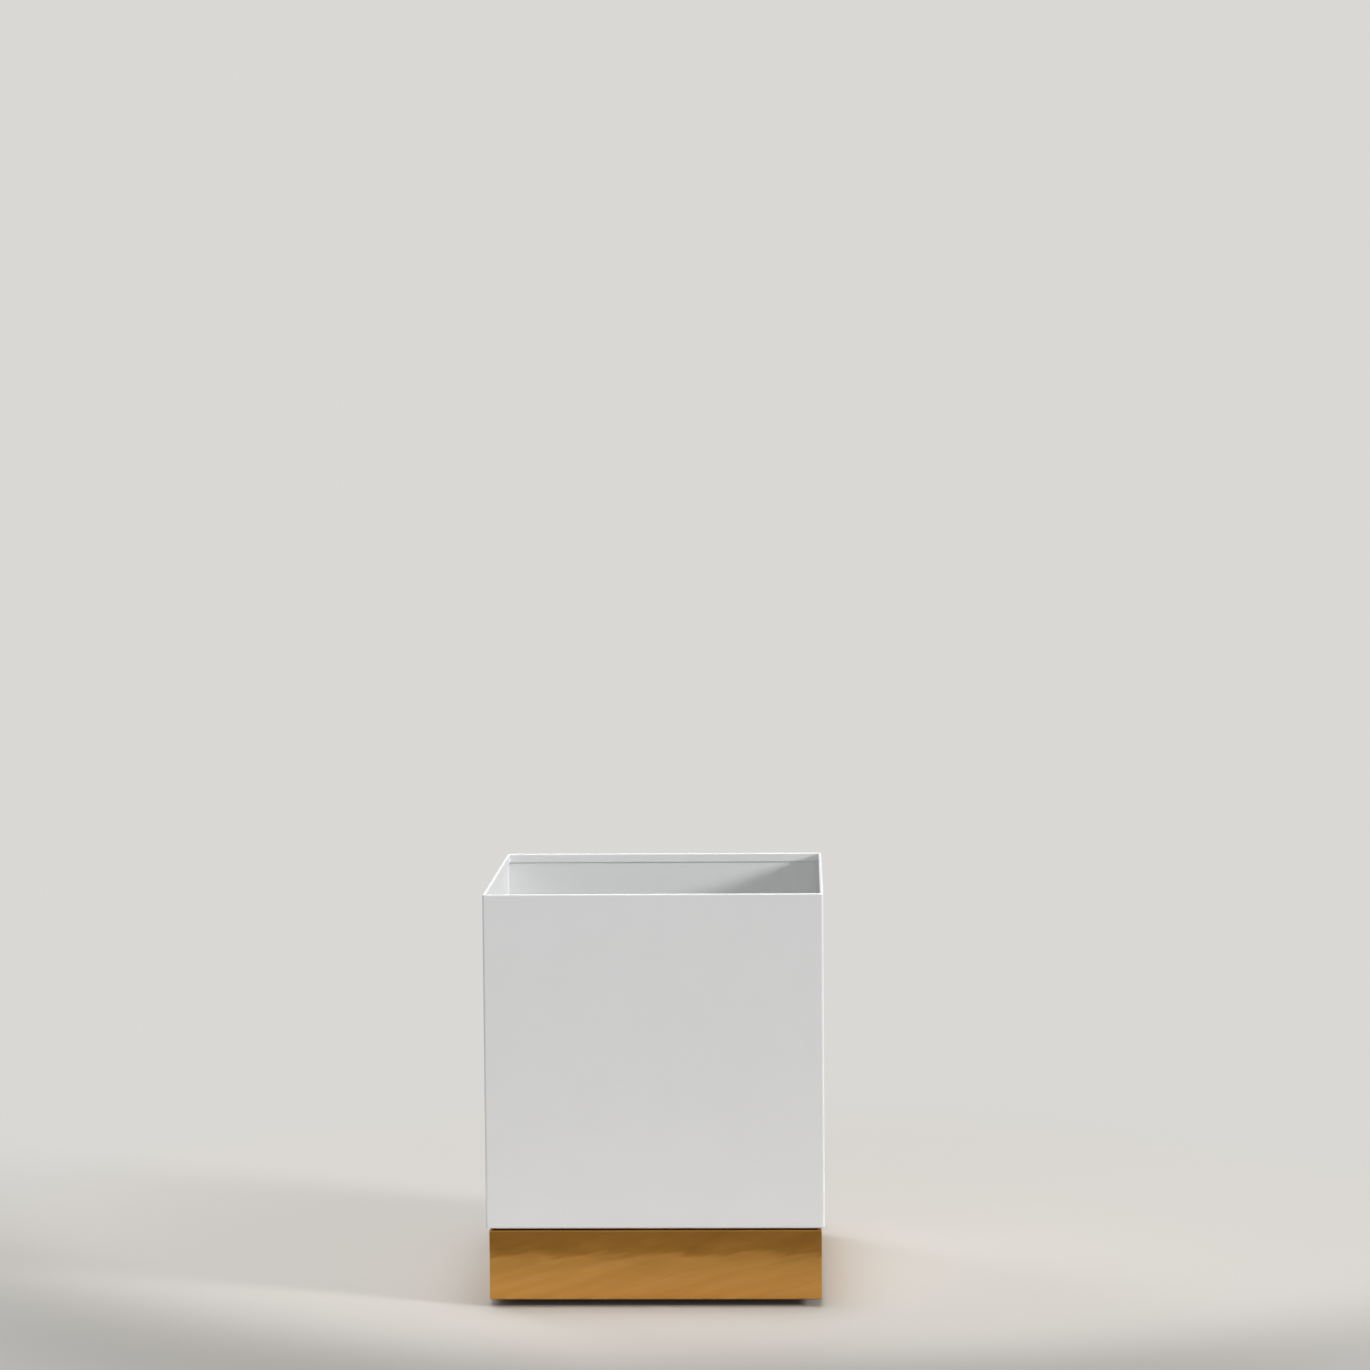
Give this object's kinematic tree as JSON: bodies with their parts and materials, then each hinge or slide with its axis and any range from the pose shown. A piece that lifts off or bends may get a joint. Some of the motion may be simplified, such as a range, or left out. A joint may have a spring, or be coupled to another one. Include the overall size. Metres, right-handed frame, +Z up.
{
  "type": "rolling planter",
  "caption": "Square white sheet-metal planter with a hemmed rim, on a set-back polished gold skirt that hides swivel casters, for moving an indoor plant.",
  "frame": {"origin": "on the floor under the middle of the planter", "axes": "+Z up, +X to the right seen from the front, front towards -Y; every caster trails towards +Y"},
  "size_m": [0.508, 0.508, 0.625],
  "materials": {
    "powder_white": "satin",
    "galvanised": "satin",
    "sealant": "satin",
    "plug_rubber": "matte",
    "gasket_foam": "matte",
    "polished_gold": "polished",
    "frame_black": "satin",
    "strip_rubber": "matte",
    "zinc_steel": "satin",
    "ball_steel": "polished",
    "ring_plastic": "matte",
    "hub_nylon": "satin",
    "tyre_grey": "matte"
  },
  "bodies": {
    "planter": {"planter_shell": "powder_white", "floor_pan": "galvanised", "sealant_bead": "sealant", "shell_gasket": "gasket_foam", "skirt": "polished_gold", "base_frame": "frame_black", "cross_bars": "frame_black", "corner_gussets": "frame_black", "support_strips": "strip_rubber", "shell_studs": "zinc_steel", "stud_washers": "zinc_steel", "stud_nuts": "zinc_steel", "caster_bolts": "zinc_steel", "caster_nuts": "zinc_steel", "front_left_top_plate": "zinc_steel", "front_left_kingpin": "zinc_steel", "front_left_lower_race": "zinc_steel", "front_left_dust_ring": "ring_plastic", "front_right_top_plate": "zinc_steel", "front_right_kingpin": "zinc_steel", "front_right_lower_race": "zinc_steel", "front_right_dust_ring": "ring_plastic", "rear_left_top_plate": "zinc_steel", "rear_left_kingpin": "zinc_steel", "rear_left_lower_race": "zinc_steel", "rear_left_dust_ring": "ring_plastic", "rear_right_top_plate": "zinc_steel", "rear_right_kingpin": "zinc_steel", "rear_right_lower_race": "zinc_steel", "rear_right_dust_ring": "ring_plastic"},
    "front_left_swivel_body": {"front_left_bearing_balls": "ball_steel", "front_left_fork": "zinc_steel", "front_left_axle_bolt": "zinc_steel", "front_left_axle_nut": "zinc_steel", "front_left_axle_sleeve": "zinc_steel"},
    "front_left_wheel_body": {"front_left_wheel_hub": "hub_nylon", "front_left_wheel_tyre": "tyre_grey"},
    "front_right_swivel_body": {"front_right_bearing_balls": "ball_steel", "front_right_fork": "zinc_steel", "front_right_axle_bolt": "zinc_steel", "front_right_axle_nut": "zinc_steel", "front_right_axle_sleeve": "zinc_steel"},
    "front_right_wheel_body": {"front_right_wheel_hub": "hub_nylon", "front_right_wheel_tyre": "tyre_grey"},
    "rear_left_swivel_body": {"rear_left_bearing_balls": "ball_steel", "rear_left_fork": "zinc_steel", "rear_left_axle_bolt": "zinc_steel", "rear_left_axle_nut": "zinc_steel", "rear_left_axle_sleeve": "zinc_steel"},
    "rear_left_wheel_body": {"rear_left_wheel_hub": "hub_nylon", "rear_left_wheel_tyre": "tyre_grey"},
    "rear_right_swivel_body": {"rear_right_bearing_balls": "ball_steel", "rear_right_fork": "zinc_steel", "rear_right_axle_bolt": "zinc_steel", "rear_right_axle_nut": "zinc_steel", "rear_right_axle_sleeve": "zinc_steel"},
    "rear_right_wheel_body": {"rear_right_wheel_hub": "hub_nylon", "rear_right_wheel_tyre": "tyre_grey"},
    "plug_body": {"drain_plug": "plug_rubber"}
  },
  "joints": [
    {"name": "front_left_swivel", "type": "hinge", "parent": "planter", "child": "front_left_swivel_body", "pos_m": [-0.16491, -0.16491, 0.0892], "axis": [0, 0, 1], "continuous": true},
    {"name": "front_left_roll", "type": "hinge", "parent": "front_left_swivel_body", "child": "front_left_wheel_body", "pos_m": [-0.16491, -0.13691, 0.0375], "axis": [1, 0, 0], "continuous": true},
    {"name": "front_right_swivel", "type": "hinge", "parent": "planter", "child": "front_right_swivel_body", "pos_m": [0.16491, -0.16491, 0.0892], "axis": [0, 0, 1], "continuous": true},
    {"name": "front_right_roll", "type": "hinge", "parent": "front_right_swivel_body", "child": "front_right_wheel_body", "pos_m": [0.16491, -0.13691, 0.0375], "axis": [1, 0, 0], "continuous": true},
    {"name": "rear_left_swivel", "type": "hinge", "parent": "planter", "child": "rear_left_swivel_body", "pos_m": [-0.16491, 0.16491, 0.0892], "axis": [0, 0, 1], "continuous": true},
    {"name": "rear_left_roll", "type": "hinge", "parent": "rear_left_swivel_body", "child": "rear_left_wheel_body", "pos_m": [-0.16491, 0.19291, 0.0375], "axis": [1, 0, 0], "continuous": true},
    {"name": "rear_right_swivel", "type": "hinge", "parent": "planter", "child": "rear_right_swivel_body", "pos_m": [0.16491, 0.16491, 0.0892], "axis": [0, 0, 1], "continuous": true},
    {"name": "rear_right_roll", "type": "hinge", "parent": "rear_right_swivel_body", "child": "rear_right_wheel_body", "pos_m": [0.16491, 0.19291, 0.0375], "axis": [1, 0, 0], "continuous": true},
    {"name": "drain_plug_lift", "type": "slide", "parent": "planter", "child": "plug_body", "axis": [0, 0, 1], "range_m": [0, 0.03]}
  ]
}
